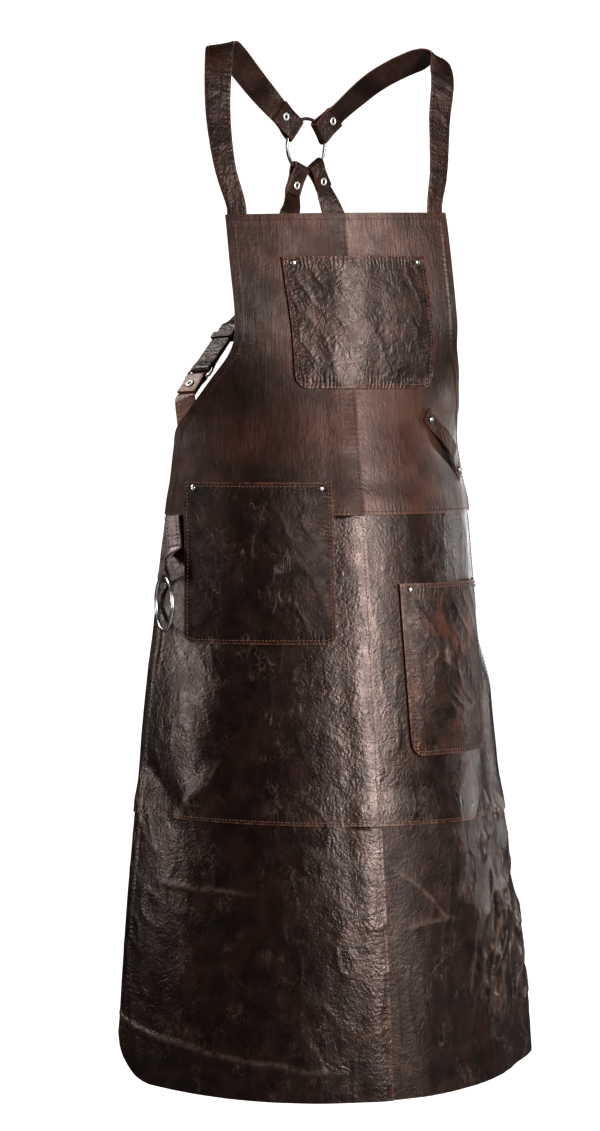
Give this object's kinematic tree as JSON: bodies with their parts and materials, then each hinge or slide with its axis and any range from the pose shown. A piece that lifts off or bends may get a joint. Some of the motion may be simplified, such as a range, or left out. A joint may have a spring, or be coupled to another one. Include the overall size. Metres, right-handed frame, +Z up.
{
  "type": "leather apron",
  "caption": "Long leather work apron with a bib, a flared skirt, patch pockets, a tool loop, a towel ring and straps crossing to a back ring; shown in its worn form.",
  "frame": {"origin": "where the apron hangs: midway between the undersides of the two shoulder straps at their tops", "axes": "+Z up, the bib and pockets face -Y, +X to the right as seen from the front"},
  "size_m": [0.4743, 0.2473, 1.0834],
  "materials": {
    "panel_leather": "dark brown pull-up leather, worn, half matt",
    "pocket_leather": "dark brown crackled leather with a waxy gloss",
    "strap_leather": "dark brown strap leather with raw tan edges",
    "steel": "bright nickel-plated steel"
  },
  "bodies": {
    "apron": {"back_ring": "steel", "back_strap_left": "strap_leather", "back_strap_left_rivet_inside": "steel", "back_strap_left_rivet_outside": "steel", "back_strap_right": "strap_leather", "back_strap_right_rivet_inside": "steel", "back_strap_right_rivet_outside": "steel", "bib_left": "panel_leather", "bib_right": "panel_leather", "buckle_left": "steel", "buckle_right": "steel", "chest_pocket": "pocket_leather", "chest_pocket_rivet_left": "steel", "chest_pocket_rivet_right": "steel", "hip_pocket_left": "pocket_leather", "hip_pocket_left_rivet_left": "steel", "hip_pocket_left_rivet_right": "steel", "hip_pocket_right": "pocket_leather", "hip_pocket_right_rivet_left": "steel", "hip_pocket_right_rivet_right": "steel", "keeper_left": "strap_leather", "keeper_right": "strap_leather", "shoulder_strap_left": "strap_leather", "shoulder_strap_left_rivet_inside": "steel", "shoulder_strap_left_rivet_outside": "steel", "shoulder_strap_right": "strap_leather", "shoulder_strap_right_rivet_inside": "steel", "shoulder_strap_right_rivet_outside": "steel", "side_tab_left": "strap_leather", "side_tab_left_rivet": "steel", "side_tab_right": "strap_leather", "side_tab_right_rivet": "steel", "skirt_lower_left": "panel_leather", "skirt_lower_right": "panel_leather", "skirt_upper_left": "panel_leather", "skirt_upper_right": "panel_leather", "tool_loop": "strap_leather", "tool_loop_rivet_lower": "steel", "tool_loop_rivet_upper": "steel", "towel_loop": "strap_leather"},
    "towel_ring": {"towel_ring": "steel"}
  },
  "joints": [
    {"name": "towel_ring_swing", "type": "hinge", "parent": "apron", "child": "towel_ring", "pos_m": [-0.195, -0.012, -0.543], "axis": [0.0872, 0.9962, 0], "range_deg": [-4, 75]}
  ]
}
